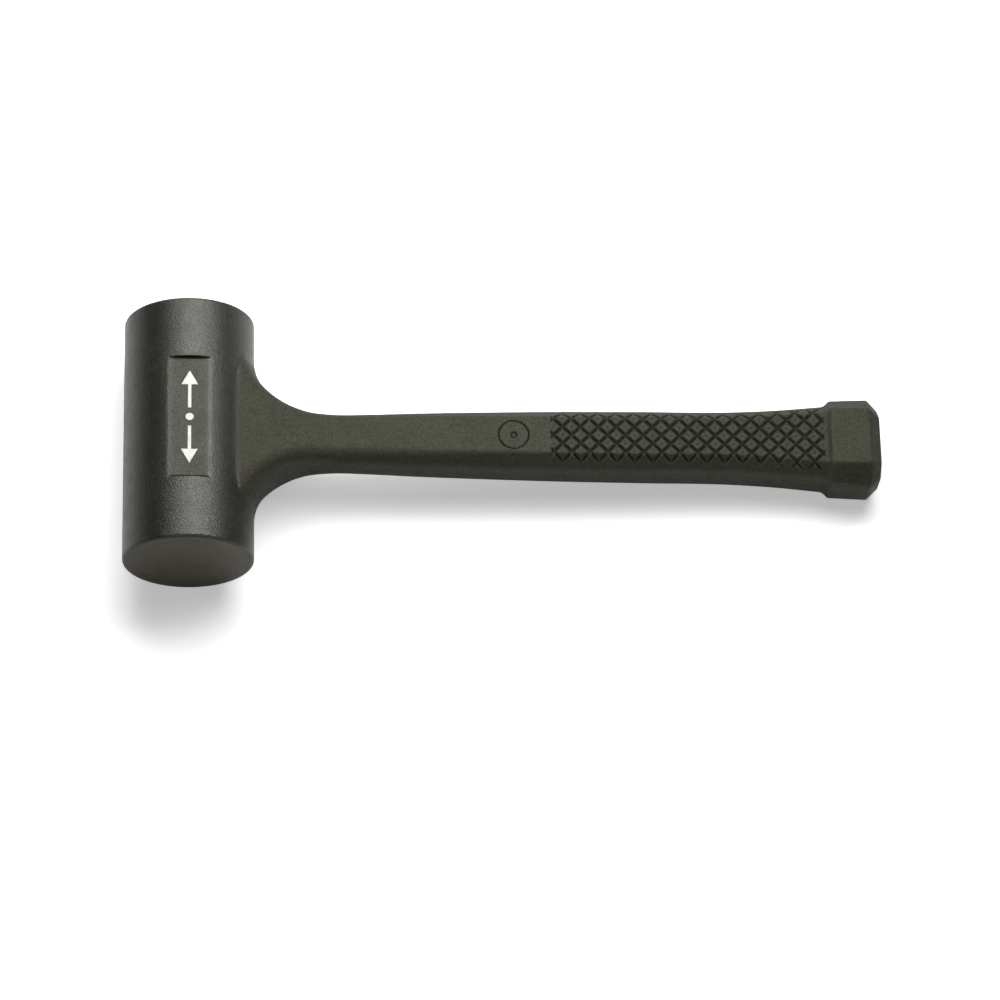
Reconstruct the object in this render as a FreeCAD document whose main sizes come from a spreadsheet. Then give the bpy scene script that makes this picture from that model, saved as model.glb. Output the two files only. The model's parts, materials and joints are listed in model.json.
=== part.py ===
"""Dead blow mallet: a cast polyurethane jacket over a steel canister of loose shot and a steel handle core.

Frame, in millimetres: the origin is the centre of the mallet's bounding box, +X runs along the handle
towards the butt, Y is parallel to the striking axis of the head and +Z points up out of the flat that
carries the printed mark. The driving dimensions count places along the handle from the striking axis.
"""

import FreeCAD, Part
import math
import os
import Sketcher

UP = FreeCAD.Vector(0, 0, 1)
ALONG_HANDLE = FreeCAD.Vector(1, 0, 0)
ALONG_HEAD = FreeCAD.Vector(0, 1, 0)
TOP = 1
BOTTOM = -1
FRONT = -1
REAR = 1
OVERRUN = 1.0  # how far a cut or an overlap runs past the face that it serves
FLARE_SWEEP = 110.0  # degrees of the neck's web about the head, all of it trimmed by the neck's slopes
NUT_SIDES = 6
SLACK = 0.01  # how far an edge may be from a place or a direction and still count as being there
LEAN = 0.1  # how far an edge must turn from an axis, and from square to it, to count as leaning

SIZES = {
    # head
    "head_diameter": 52.0,
    "head_length": 104.0,
    "head_rim_radius": 1.2,
    "mark_flat_width": 16.6,
    "mark_flat_length": 52.0,
    # neck: its sides flare into the head, and its top and bottom slope down to the waist
    "flare_radius": 25.0,
    "neck_root": 13.0,
    "neck_root_height": 39.0,
    "waist_position": 58.0,
    "waist_width": 20.8,
    "waist_height": 19.2,
    # handle
    "swell_position": 92.0,
    "swell_width": 23.0,
    "swell_height": 20.8,
    "grip_start": 144.9,
    "grip_start_width": 24.8,
    "grip_middle": 216.0,
    "grip_middle_width": 25.6,
    "grip_end_width": 31.2,
    "grip_end_height": 24.8,
    "handle_chamfer": 4.0,
    "groove_width": 1.2,
    "groove_depth": 0.7,
    "groove_pitch": 7.2,
    "groove_count": 20.0,
    "groove_lead_in": 2.0,
    # moulded ring mark on the handle
    "ring_position": 129.0,
    "ring_diameter": 12.6,
    "ring_groove_width": 0.7,
    "ring_centre_diameter": 3.0,
    "ring_depth": 0.4,
    # butt block
    "butt_start": 254.0,
    "butt_end": 276.6,
    "butt_front_width": 35.4,
    "butt_end_width": 38.8,
    "butt_flat_width": 23.6,
    "butt_height": 28.4,
    "butt_front_bevel": 2.4,
    "butt_end_bevel": 4.6,
    # printed mark
    "print_thickness": 0.15,
    "print_line_width": 1.3,
    "print_half_length": 20.0,
    "print_head_length": 6.0,
    "print_head_width": 6.6,
    "print_dot_diameter": 3.1,
    "print_gap": 2.4,
    # canister
    "canister_diameter": 38.0,
    "canister_wall": 2.5,
    "canister_length": 88.0,
    "cap_thickness": 4.0,
    "weld_leg": 2.0,
    "weld_crown": 0.5,
    "weld_crown_width": 1.0,
    # shot
    "ball_diameter": 6.4,
    "ball_gap": 0.08,
    "ball_layers": 9.0,
    "ball_rings": 2.0,
    # handle core
    "core_diameter": 10.0,
    "core_start": 20.0,
    "core_shoulder": 256.0,
    "core_end": 268.5,
    "core_thread_diameter": 8.0,
    "core_bevel": 1.0,
    "socket_diameter": 15.0,
    "socket_end": 37.0,
    "socket_weld_leg": 3.5,
    "socket_weld_height": 5.6,
    "pin_position": 30.0,
    "pin_diameter": 3.0,
    "pin_wall": 0.5,
    "pin_slot": 0.6,
    "collar_diameter": 14.0,
    "collar_width": 4.0,
    "collar_bevel": 0.8,
    "collar_first": 96.0,
    "collar_pitch": 52.0,
    "collar_count": 3.0,
    "anchor_plate_width": 22.0,
    "anchor_plate_height": 16.0,
    "anchor_plate_thickness": 3.0,
    "anchor_plate_corner": 2.7,
    "lock_washer_diameter": 14.8,
    "lock_washer_thickness": 2.0,
    "lock_washer_gap": 1.0,
    "nut_across_flats": 13.0,
    "nut_thickness": 6.5,
}


class Size:
    """A length that carries its number and the spreadsheet expression that gives it."""

    def __init__(self, number, text):
        self.number = float(number)
        self.text = text

    def __add__(self, other):
        return joined(self, "+", other)

    def __radd__(self, other):
        return joined(other, "+", self)

    def __sub__(self, other):
        return joined(self, "-", other)

    def __rsub__(self, other):
        return joined(other, "-", self)

    def __mul__(self, other):
        return joined(self, "*", other)

    def __rmul__(self, other):
        return joined(other, "*", self)

    def __truediv__(self, other):
        return joined(self, "/", other)

    def __neg__(self):
        return self * -1

    def root(self):
        return Size(math.sqrt(self.number), f"sqrt({self.text})")


def as_size(value):
    """A plain number or a Size, as a Size."""
    if isinstance(value, Size):
        return value
    return Size(value, repr(float(value)))


def joined(left, sign, right):
    """The result of one arithmetic step on two sizes."""
    a = as_size(left)
    b = as_size(right)
    numbers = {
        "+": a.number + b.number,
        "-": a.number - b.number,
        "*": a.number * b.number,
        "/": a.number / b.number if b.number else 0.0,
    }
    return Size(numbers[sign], f"({a.text} {sign} {b.text})")


def slope_angle(rise, run):
    """The angle, in degrees, of a face that rises by rise over run."""
    number = math.degrees(math.atan2(rise.number, run.number))
    return Size(number, f"atan({rise.text} / {run.text})")


class Sheet:
    """The document's spreadsheet of driving dimensions. An attribute of it is a Size."""

    def __init__(self, document, sizes):
        self.cells = document.addObject("Spreadsheet::Sheet", "sizes")
        for row, (name, value) in enumerate(sizes.items(), start=1):
            self.cells.set(f"A{row}", name)
            self.cells.set(f"B{row}", str(value))
            self.cells.setAlias(f"B{row}", name)
        document.recompute()

    def __getattr__(self, name):
        return Size(self.cells.get(name), f"<<sizes>>.{name}")


os.makedirs("parts", exist_ok=True)
doc = FreeCAD.newDocument("dead_blow_mallet")
sheet = Sheet(doc, SIZES)
head_to_origin = (sheet.butt_end - sheet.head_diameter / 2) / 2


def bind(thing, name, size):
    """Binds one property of an object to a Size."""
    thing.setExpression(name, as_size(size).text)


def move(thing, x=0, y=0, z=0):
    """Binds the place of an object to sizes, with x counted from the striking axis."""
    for axis, size in zip("xyz", (x - head_to_origin, y, z)):
        bind(thing, f"Placement.Base.{axis}", size)


# ---------------------------------------------------------------- primitives


def cylinder(name, radius, start, end, axis):
    """A cylinder centred on the X or Y axis of the frame, from start to end along it."""
    solid = doc.addObject("Part::Cylinder", name)
    solid.Placement = FreeCAD.Placement(FreeCAD.Vector(), FreeCAD.Rotation(UP, axis))
    bind(solid, "Radius", radius)
    bind(solid, "Height", end - start)
    if axis == ALONG_HANDLE:
        move(solid, x=start)
    else:
        move(solid, y=start)
    return solid


def box(name, length, width, height, centre_x=0, centre_y=0, centre_z=0):
    """A box with its sides along the frame's axes, placed by its centre."""
    solid = doc.addObject("Part::Box", name)
    bind(solid, "Length", length)
    bind(solid, "Width", width)
    bind(solid, "Height", height)
    move(solid, centre_x - length / 2, centre_y - width / 2, centre_z - height / 2)
    return solid


def cut(name, base, *tools):
    """base with every tool taken out of it."""
    result = base
    for number, tool in enumerate(tools, start=1):
        step = doc.addObject("Part::Cut", name if number == len(tools) else f"{name}_step_{number}")
        step.Base = result
        step.Tool = tool
        result = step
    return result


def fuse(name, *things):
    """One solid joined from several."""
    result = doc.addObject("Part::MultiFuse", name)
    result.Shapes = list(things)
    result.Refine = True
    return result


# ---------------------------------------------------------------- bodies and sketches


def new_body(name):
    """A body whose own origin is the centre of the head."""
    body = doc.addObject("PartDesign::Body", name)
    body.Label = name
    move(body)
    return body


def plane_of(body, role):
    """One of a body's own origin planes or axes."""
    for feature in body.Origin.OriginFeatures:
        if feature.Role == role:
            return feature
    raise ValueError(f"{body.Name} has no {role}")


def new_sketch(body, name, role, offset=0):
    """A sketch on one of the body's origin planes, lifted off it along the plane's normal."""
    sketch = body.newObject("Sketcher::SketchObject", name)
    sketch.AttachmentSupport = [(plane_of(body, role), "")]
    sketch.MapMode = "FlatFace"
    bind(sketch, "AttachmentOffset.Base.z", offset)
    return sketch


def fix_point(sketch, item, end, x, y):
    """Ties a point of a sketch to two sizes."""
    for kind, size in (("DistanceX", x), ("DistanceY", y)):
        size = as_size(size)
        number = sketch.addConstraint(Sketcher.Constraint(kind, item, end, size.number))
        bind(sketch, f"Constraints[{number}]", size)


def add_circle(sketch, radius, x=0, y=0):
    """A circle tied to sizes by its centre and radius."""
    centre = FreeCAD.Vector(as_size(x).number, as_size(y).number, 0)
    item = sketch.addGeometry(Part.Circle(centre, UP, as_size(radius).number))
    fix_point(sketch, item, 3, x, y)
    number = sketch.addConstraint(Sketcher.Constraint("Radius", item, as_size(radius).number))
    bind(sketch, f"Constraints[{number}]", radius)


def arc_between(start, end, radius, bulge):
    """The short arc from start to end with that radius. bulge +1 turns anticlockwise, -1 clockwise."""
    chord = end - start
    middle = (start + end) / 2
    height = math.sqrt(max(radius**2 - (chord.Length / 2) ** 2, 0.0))
    normal = FreeCAD.Vector(-chord.y, chord.x, 0).normalize()
    centre = middle + normal * height * bulge
    first = math.atan2(start.y - centre.y, start.x - centre.x)
    last = math.atan2(end.y - centre.y, end.x - centre.x)
    circle = Part.Circle(centre, UP, radius)
    if bulge > 0:
        return Part.ArcOfCircle(circle, first, last)
    return Part.ArcOfCircle(circle, last, first)


def add_outline(sketch, corners):
    """A closed outline. Each corner is (x, y), or (x, y, radius, bulge) for an arc from it to the next."""
    points = [FreeCAD.Vector(as_size(c[0]).number, as_size(c[1]).number, 0) for c in corners]
    ends = []
    for number, corner in enumerate(corners):
        start = points[number]
        finish = points[(number + 1) % len(points)]
        if len(corner) == 2:
            item = sketch.addGeometry(Part.LineSegment(start, finish))
            ends.append((item, 1, 2))
        else:
            radius, bulge = corner[2], corner[3]
            item = sketch.addGeometry(arc_between(start, finish, as_size(radius).number, bulge))
            ends.append((item, 1, 2) if bulge > 0 else (item, 2, 1))
            place = sketch.addConstraint(Sketcher.Constraint("Radius", item, as_size(radius).number))
            bind(sketch, f"Constraints[{place}]", radius)
    for number, (item, first, last) in enumerate(ends):
        after = ends[(number + 1) % len(ends)]
        sketch.addConstraint(Sketcher.Constraint("Coincident", item, last, after[0], after[1]))
        fix_point(sketch, item, first, corners[number][0], corners[number][1])


def pad(body, name, sketch, length, midplane=False, reverse=False):
    feature = body.newObject("PartDesign::Pad", name)
    feature.Profile = sketch
    bind(feature, "Length", length)
    feature.Midplane = midplane
    feature.Reversed = reverse
    doc.recompute()
    return feature


def pocket(body, name, sketch, depth=None, reverse=False, midplane=False):
    """Cuts the sketch out of the body, to a depth or right through, and makes sure that it did cut."""
    before = body.Shape.Volume
    feature = body.newObject("PartDesign::Pocket", name)
    feature.Profile = sketch
    feature.Reversed = reverse
    feature.Midplane = midplane
    if depth is None:
        feature.Type = "ThroughAll"
    else:
        bind(feature, "Length", depth)
    doc.recompute()
    if not body.Shape.Volume < before:
        raise ValueError(f"{name} cut nothing")
    return feature


def revolve(body, name, sketch, axis, sweep=360.0):
    """Turns a sketch about one of its own axes, half of the sweep to each side."""
    feature = body.newObject("PartDesign::Revolution", name)
    feature.Profile = sketch
    feature.ReferenceAxis = (sketch, [axis])
    feature.Angle = sweep
    feature.Midplane = True
    doc.recompute()
    return feature


def dress(body, kind, name, base, edges, size):
    """A fillet or chamfer on edges of the feature base."""
    feature = body.newObject(f"PartDesign::{kind}", name)
    feature.Base = (base, edges)
    bind(feature, "Radius" if kind == "Fillet" else "Size", size)
    doc.recompute()
    return feature


def edges_where(feature, test):
    """The names of a feature's edges whose middle point and direction pass the test."""
    names = []
    for number, edge in enumerate(feature.Shape.Edges, start=1):
        middle = edge.valueAt((edge.FirstParameter + edge.LastParameter) / 2)
        direction = edge.tangentAt((edge.FirstParameter + edge.LastParameter) / 2)
        if test(middle, direction):
            names.append(f"Edge{number}")
    return names


def runs_along(direction, axis):
    return abs(direction.dot(axis)) > 1 - SLACK


def leans(direction, axis):
    """Whether a direction is neither along an axis nor square to it."""
    return LEAN < abs(direction.dot(axis)) < 1 - LEAN


# ---------------------------------------------------------------- outer jacket


def mark_flat_height():
    """How far above the striking axis the printed flat lies, for it to be as wide as it is."""
    radius = sheet.head_diameter / 2
    half_width = sheet.mark_flat_width / 2
    return (radius * radius - half_width * half_width).root()


def handle_height(position):
    """Height of the handle at a place along it: its top and bottom are flat from swell to butt."""
    rise = sheet.grip_end_height - sheet.swell_height
    run = sheet.butt_start - sheet.swell_position
    return sheet.swell_height + rise * (position - sheet.swell_position) / run


def head_form():
    """The cylindrical head with its softened rims and the flat that carries the print."""
    body = new_body("head_form")
    outline = new_sketch(body, "head_circle", "XZ_Plane")
    add_circle(outline, sheet.head_diameter / 2)
    cylinder_pad = pad(body, "head_pad", outline, sheet.head_length, midplane=True)
    rims = edges_where(cylinder_pad, lambda middle, direction: not runs_along(direction, ALONG_HEAD))
    dress(body, "Fillet", "head_rims", cylinder_pad, rims, sheet.head_rim_radius)
    half_width = sheet.mark_flat_width / 2
    half_length = sheet.mark_flat_length / 2
    recess = new_sketch(body, "mark_flat_outline", "XY_Plane", mark_flat_height())
    add_outline(
        recess,
        [
            (-half_width, -half_length),
            (half_width, -half_length),
            (half_width, half_length),
            (-half_width, half_length),
        ],
    )
    pocket(body, "mark_flat", recess, reverse=True)
    return body


def octagon(half_width, half_height, corner):
    """The corners of a rectangle with cut corners."""
    return [
        (-half_width, -half_height + corner),
        (-half_width + corner, -half_height),
        (half_width - corner, -half_height),
        (half_width, -half_height + corner),
        (half_width, half_height - corner),
        (half_width - corner, half_height),
        (-half_width + corner, half_height),
        (-half_width, half_height - corner),
    ]


def loft_octagons(body, name, stations):
    """A straight-sided solid through eight-sided sections given as (position, width, height, corner)."""
    sections = []
    for number, (position, width, height, corner) in enumerate(stations, start=1):
        section = new_sketch(body, f"{name}_section_{number}", "YZ_Plane", position)
        add_outline(section, octagon(width / 2, height / 2, corner))
        sections.append(section)
    loft = body.newObject("PartDesign::AdditiveLoft", name)
    loft.Profile = sections[0]
    loft.Sections = sections[1:]
    loft.Ruled = True
    doc.recompute()
    return loft


def loft_handle(body, name, stations):
    """A run of handle through sections given as (position, width, height)."""
    return loft_octagons(body, name, [(*station, sheet.handle_chamfer) for station in stations])


def flare_form():
    """The fish-tail of the neck: a web turned about the head's axis, so that it runs tangent into the head."""
    body = new_body("flare_form")
    radius = sheet.head_diameter / 2
    half_waist = sheet.waist_width / 2
    rim = half_waist + sheet.flare_radius
    outline = new_sketch(body, "flare_outline", "XY_Plane")
    add_outline(
        outline,
        [
            (sheet.neck_root, -rim),
            (radius, -rim, sheet.flare_radius, -1),
            (radius + sheet.flare_radius, -half_waist),
            (radius + sheet.flare_radius, half_waist, sheet.flare_radius, -1),
            (radius, rim),
            (sheet.neck_root, rim),
        ],
    )
    web = revolve(body, "flare_web", outline, "V_Axis", FLARE_SWEEP)
    for side, word in ((TOP, "above"), (BOTTOM, "below")):
        trim = new_sketch(body, f"flare_{word}_outline", "XZ_Plane")
        clear = sheet.head_diameter
        add_outline(
            trim,
            [
                (sheet.neck_root - OVERRUN, sheet.neck_root_height / 2 * side),
                (sheet.waist_position, sheet.waist_height / 2 * side),
                (sheet.waist_position, clear * side),
                (sheet.neck_root - OVERRUN, clear * side),
            ],
        )
        web = pocket(body, f"flare_{word}", trim, midplane=True)
    curved = edges_where(web, lambda middle, direction: leans(direction, ALONG_HEAD))
    dress(body, "Chamfer", "flare_bevel", web, curved, sheet.handle_chamfer)
    return body


def neck_form():
    """The plain front of the handle, which carries the moulded ring marks."""
    body = new_body("neck_form")
    loft_handle(
        body,
        "neck_loft",
        [
            (sheet.neck_root, sheet.waist_width, sheet.neck_root_height),
            (sheet.waist_position, sheet.waist_width, sheet.waist_height),
            (sheet.swell_position, sheet.swell_width, sheet.swell_height),
            (sheet.grip_start, sheet.grip_start_width, handle_height(sheet.grip_start)),
        ],
    )
    for side, word in ((TOP, "top"), (BOTTOM, "bottom")):
        ring_mark(body, side, word)
    return body


def handle_face_sketch(body, name, side):
    """A sketch on the flat top or bottom of the handle, with its origin at the swell."""
    sketch = new_sketch(body, name, "XY_Plane")
    rise = (sheet.grip_end_height - sheet.swell_height) / 2
    angle = slope_angle(rise, sheet.butt_start - sheet.swell_position)
    turn = FreeCAD.Rotation(FreeCAD.Vector(0, -side, 0), angle.number)
    sketch.AttachmentOffset = FreeCAD.Placement(FreeCAD.Vector(), turn)
    bind(sketch, "AttachmentOffset.Rotation.Angle", angle)
    bind(sketch, "AttachmentOffset.Base.x", sheet.swell_position)
    bind(sketch, "AttachmentOffset.Base.z", sheet.swell_height / 2 * side)
    return sketch


def ring_mark(body, side, word):
    """A plain moulded ring with a dot at its centre."""
    sketch = handle_face_sketch(body, f"ring_mark_{word}_outline", side)
    centre = sheet.ring_position - sheet.swell_position
    add_circle(sketch, sheet.ring_diameter / 2, centre)
    add_circle(sketch, sheet.ring_diameter / 2 - sheet.ring_groove_width, centre)
    add_circle(sketch, sheet.ring_centre_diameter / 2, centre)
    pocket(body, f"ring_mark_{word}", sketch, sheet.ring_depth, reverse=side == BOTTOM)


def diamond_grooves(body, side, word):
    """Two crossing sets of diagonal grooves over the top or bottom of the grip."""
    reach = sheet.butt_end_width / 2
    half_width = sheet.groove_width / math.sqrt(2)
    lead_in = sheet.groove_pitch * sheet.groove_lead_in
    first = sheet.grip_start - sheet.swell_position - lead_in
    for lean, direction in ((1, "rising"), (-1, "falling")):
        name = f"grooves_{word}_{direction}"
        sketch = handle_face_sketch(body, f"{name}_outline", side)
        corners = [
            (first - reach - half_width, -reach * lean),
            (first - reach + half_width, -reach * lean),
            (first + reach + half_width, reach * lean),
            (first + reach - half_width, reach * lean),
        ]
        add_outline(sketch, corners)
        single = body.newObject("PartDesign::Pocket", f"{name}_first")
        single.Profile = sketch
        single.Reversed = side == BOTTOM
        bind(single, "Length", sheet.groove_depth)
        doc.recompute()
        repeat = body.newObject("PartDesign::LinearPattern", name)
        repeat.Originals = [single]
        repeat.Direction = (sketch, ["H_Axis"])
        bind(repeat, "Length", sheet.groove_pitch * (sheet.groove_count - 1))
        bind(repeat, "Occurrences", sheet.groove_count)
        body.Tip = repeat
        doc.recompute()


def grip_form():
    """The grooved rear part of the handle, which runs a little way into the butt block."""
    body = new_body("grip_form")
    grip_end = sheet.butt_start + sheet.butt_front_bevel + OVERRUN
    loft_handle(
        body,
        "grip_loft",
        [
            (sheet.grip_start, sheet.grip_start_width, handle_height(sheet.grip_start)),
            (sheet.grip_middle, sheet.grip_middle_width, handle_height(sheet.grip_middle)),
            (sheet.butt_start, sheet.grip_end_width, handle_height(sheet.butt_start)),
            (grip_end, sheet.grip_end_width, handle_height(grip_end)),
        ],
    )
    for side, word in ((TOP, "top"), (BOTTOM, "bottom")):
        diamond_grooves(body, side, word)
    return body


def butt_section(position, inset):
    """The butt's (position, width, height, corner), with its outline drawn in by inset all round.

    Its sides spread towards the end, while the flats and the long bevels beside them run straight.
    """
    share = (position - sheet.butt_start) / (sheet.butt_end - sheet.butt_start)
    width = sheet.butt_front_width + (sheet.butt_end_width - sheet.butt_front_width) * share
    corner = (width - sheet.butt_flat_width) / 2 - inset * (2 - math.sqrt(2))
    return position, width - inset * 2, sheet.butt_height - inset * 2, corner


def butt_form():
    """The stepped block at the end of the handle, bevelled front and back."""
    body = new_body("butt_form")
    stations = [
        butt_section(sheet.butt_start, sheet.butt_front_bevel),
        butt_section(sheet.butt_start + sheet.butt_front_bevel, 0),
        butt_section(sheet.butt_end - sheet.butt_end_bevel, 0),
        butt_section(sheet.butt_end, sheet.butt_end_bevel),
    ]
    loft_octagons(body, "butt_loft", stations)
    return body


# ---------------------------------------------------------------- canister


def canister_tube():
    """The steel tube that holds the shot."""
    body = new_body("canister_tube")
    outline = new_sketch(body, "tube_outline", "XZ_Plane")
    add_circle(outline, sheet.canister_diameter / 2)
    add_circle(outline, sheet.canister_diameter / 2 - sheet.canister_wall)
    pad(body, "tube_pad", outline, sheet.canister_length, midplane=True)
    return body


def canister_cap(name, end):
    """A steel disc pressed into one end of the tube, bevelled for its weld."""
    body = new_body(name)
    inner_face = sheet.canister_length / 2 - sheet.cap_thickness
    outline = new_sketch(body, f"{name}_outline", "XZ_Plane", -inner_face * end)
    add_circle(outline, sheet.canister_diameter / 2 - sheet.canister_wall)
    disc = pad(body, f"{name}_disc", outline, sheet.cap_thickness, reverse=end == REAR)
    outer_face = sheet.canister_length.number / 2 * end
    rim = edges_where(disc, lambda middle, direction: abs(middle.y - outer_face) < SLACK)
    dress(body, "Chamfer", f"{name}_weld_bevel", disc, rim, sheet.weld_leg)
    return body


def cap_weld(name, end):
    """The ring of weld that fills a cap's bevel and stands a little proud of it."""
    body = new_body(name)
    inner_radius = sheet.canister_diameter / 2 - sheet.canister_wall
    face = sheet.canister_length / 2
    crown_start = (sheet.weld_leg - sheet.weld_crown_width) / 2
    crown_end = crown_start + sheet.weld_crown_width
    outline = new_sketch(body, f"{name}_outline", "XY_Plane")
    add_outline(
        outline,
        [
            (inner_radius - sheet.weld_leg, face * end),
            (inner_radius, (face - sheet.weld_leg) * end),
            (inner_radius, face * end),
            (inner_radius - crown_start, (face + sheet.weld_crown) * end),
            (inner_radius - crown_end, (face + sheet.weld_crown) * end),
        ],
    )
    revolve(body, f"{name}_bead", outline, "V_Axis")
    return body


def steel_shot():
    """The loose shot, packed in hexagonal layers across the canister."""
    diameter = sheet.ball_diameter.number
    pitch = diameter + sheet.ball_gap.number
    layers = round(sheet.ball_layers.number)
    rings = round(sheet.ball_rings.number)
    balls = []
    for layer in range(layers):
        along = (layer - (layers - 1) / 2) * pitch
        for row in range(-rings, rings + 1):
            for column in range(-rings, rings + 1):
                if abs(row + column) > rings:
                    continue
                across = (column + row / 2) * pitch
                height = row * pitch * math.sqrt(3) / 2
                balls.append(Part.makeSphere(diameter / 2, FreeCAD.Vector(across, along, height)))
    shot = doc.addObject("Part::Feature", "steel_shot")
    shot.Shape = Part.makeCompound(balls)
    move(shot)
    return shot


# ---------------------------------------------------------------- handle core


def core_rod():
    """The steel core of the handle, turned down at the butt for its nut and drilled for the cross pin."""
    body = new_body("handle_core_rod")
    radius = sheet.core_diameter / 2
    thread_radius = sheet.core_thread_diameter / 2
    bevel = sheet.core_bevel
    outline = new_sketch(body, "rod_outline", "XY_Plane")
    add_outline(
        outline,
        [
            (sheet.core_start, 0),
            (sheet.core_start, radius - bevel),
            (sheet.core_start + bevel, radius),
            (sheet.core_shoulder, radius),
            (sheet.core_shoulder, thread_radius),
            (sheet.core_end - bevel, thread_radius),
            (sheet.core_end, thread_radius - bevel),
            (sheet.core_end, 0),
        ],
    )
    revolve(body, "rod_turning", outline, "H_Axis")
    drilling = new_sketch(body, "rod_pin_hole_outline", "XY_Plane")
    add_circle(drilling, sheet.pin_diameter / 2, sheet.pin_position)
    pocket(body, "rod_pin_hole", drilling, midplane=True)
    return body


def pin_cylinder(name, radius):
    """A cylinder through the socket on the cross pin's axis."""
    solid = doc.addObject("Part::Cylinder", name)
    bind(solid, "Radius", radius)
    bind(solid, "Height", sheet.socket_diameter)
    move(solid, sheet.pin_position, 0, -sheet.socket_diameter / 2)
    return solid


def cross_pin():
    """A slotted spring pin that locks the core rod into its socket."""
    radius = sheet.pin_diameter / 2
    blank = pin_cylinder("pin_blank", radius)
    bore = pin_cylinder("pin_bore", radius - sheet.pin_wall)
    slot = box(
        "pin_slot",
        radius * 2,
        sheet.pin_slot,
        sheet.socket_diameter * 2,
        centre_x=sheet.pin_position + radius,
    )
    trimmed = doc.addObject("Part::Common", "pin_trimmed")
    trimmed.Base = cut("pin_rolled", blank, bore, slot)
    trimmed.Tool = envelope["socket"]
    return trimmed


def core_socket():
    """The collar welded to the canister, hollowed to fit its wall, that takes the end of the rod."""
    bore = cylinder(
        "socket_bore", sheet.core_diameter / 2, sheet.core_start, sheet.socket_end, ALONG_HANDLE
    )
    pin_hole = pin_cylinder("socket_pin_hole", sheet.pin_diameter / 2)
    return cut("core_socket", envelope["socket"], envelope["canister"], bore, pin_hole)


def socket_weld():
    """The fillet of weld round the foot of the socket."""
    wall = sheet.canister_diameter / 2
    radius = sheet.socket_diameter / 2
    cone = doc.addObject("Part::Cone", "socket_weld_cone")
    cone.Placement = FreeCAD.Placement(FreeCAD.Vector(), FreeCAD.Rotation(UP, ALONG_HANDLE))
    bind(cone, "Radius1", radius + sheet.socket_weld_leg)
    bind(cone, "Radius2", radius)
    bind(cone, "Height", sheet.socket_weld_height)
    move(cone, x=wall - sheet.socket_weld_leg)
    return cut("socket_weld", cone, envelope["canister"], envelope["socket"])


def core_collars():
    """Collars pressed on to the rod, which key it into the cast handle."""
    body = new_body("core_collars")
    body.AllowCompound = True
    half = sheet.collar_width / 2
    radius = sheet.collar_diameter / 2
    bevel = sheet.collar_bevel
    outline = new_sketch(body, "collar_outline", "XY_Plane")
    add_outline(
        outline,
        [
            (sheet.collar_first - half, sheet.core_diameter / 2),
            (sheet.collar_first - half, radius - bevel),
            (sheet.collar_first - half + bevel, radius),
            (sheet.collar_first + half - bevel, radius),
            (sheet.collar_first + half, radius - bevel),
            (sheet.collar_first + half, sheet.core_diameter / 2),
        ],
    )
    first = revolve(body, "first_collar", outline, "H_Axis")
    repeat = body.newObject("PartDesign::LinearPattern", "collar_row")
    repeat.Originals = [first]
    repeat.Direction = (outline, ["H_Axis"])
    bind(repeat, "Length", sheet.collar_pitch * (sheet.collar_count - 1))
    bind(repeat, "Occurrences", sheet.collar_count)
    body.Tip = repeat
    doc.recompute()
    return body


def anchor_plate():
    """The plate under the nut that stops the handle from being pulled off its core."""
    body = new_body("anchor_plate")
    outline = new_sketch(body, "plate_outline", "YZ_Plane", sheet.core_shoulder)
    half_width = sheet.anchor_plate_width / 2
    half_height = sheet.anchor_plate_height / 2
    add_outline(outline, octagon(half_width, half_height, sheet.anchor_plate_corner))
    add_circle(outline, sheet.core_thread_diameter / 2)
    pad(body, "plate_pad", outline, sheet.anchor_plate_thickness)
    return body


def lock_washer():
    """A split spring washer between the plate and the nut."""
    start = sheet.core_shoulder + sheet.anchor_plate_thickness
    end = start + sheet.lock_washer_thickness
    bore = cylinder("washer_bore", sheet.core_thread_diameter / 2, start, end, ALONG_HANDLE)
    split = box(
        "washer_split",
        sheet.lock_washer_thickness * 2,
        sheet.lock_washer_gap,
        sheet.lock_washer_diameter,
        centre_x=(start + end) / 2,
        centre_z=sheet.lock_washer_diameter / 2,
    )
    return cut("lock_washer", envelope["washer"], bore, split)


def anchor_nut():
    """The hexagon nut that holds the plate on the end of the core."""
    body = new_body("anchor_nut")
    seat = sheet.core_shoulder + sheet.anchor_plate_thickness + sheet.lock_washer_thickness
    outline = new_sketch(body, "nut_outline", "YZ_Plane", seat)
    radius = sheet.nut_across_flats / math.sqrt(3)
    corners = []
    for number in range(NUT_SIDES):
        angle = 2 * math.pi * number / NUT_SIDES
        corners.append((radius * math.cos(angle), radius * math.sin(angle)))
    add_outline(outline, corners)
    add_circle(outline, sheet.core_thread_diameter / 2)
    pad(body, "nut_pad", outline, sheet.nut_thickness)
    return body


# ---------------------------------------------------------------- printed mark


def printed_mark():
    """A printed arrow pointing at each striking face, with a dot at the balance point between them."""
    body = new_body("printed_mark")
    body.AllowCompound = True
    outline = new_sketch(body, "print_outline", "XY_Plane", mark_flat_height())
    half_line = sheet.print_line_width / 2
    half_head = sheet.print_head_width / 2
    neck_of_arrow = sheet.print_half_length - sheet.print_head_length
    dot_radius = sheet.print_dot_diameter / 2
    tail = dot_radius + sheet.print_gap
    for end in (FRONT, REAR):
        add_outline(
            outline,
            [
                (-half_line, tail * end),
                (half_line, tail * end),
                (half_line, neck_of_arrow * end),
                (half_head, neck_of_arrow * end),
                (0, sheet.print_half_length * end),
                (-half_head, neck_of_arrow * end),
                (-half_line, neck_of_arrow * end),
            ],
        )
    add_circle(outline, dot_radius)
    pad(body, "print_layer", outline, sheet.print_thickness)
    return body


# ---------------------------------------------------------------- the whole mallet

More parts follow.
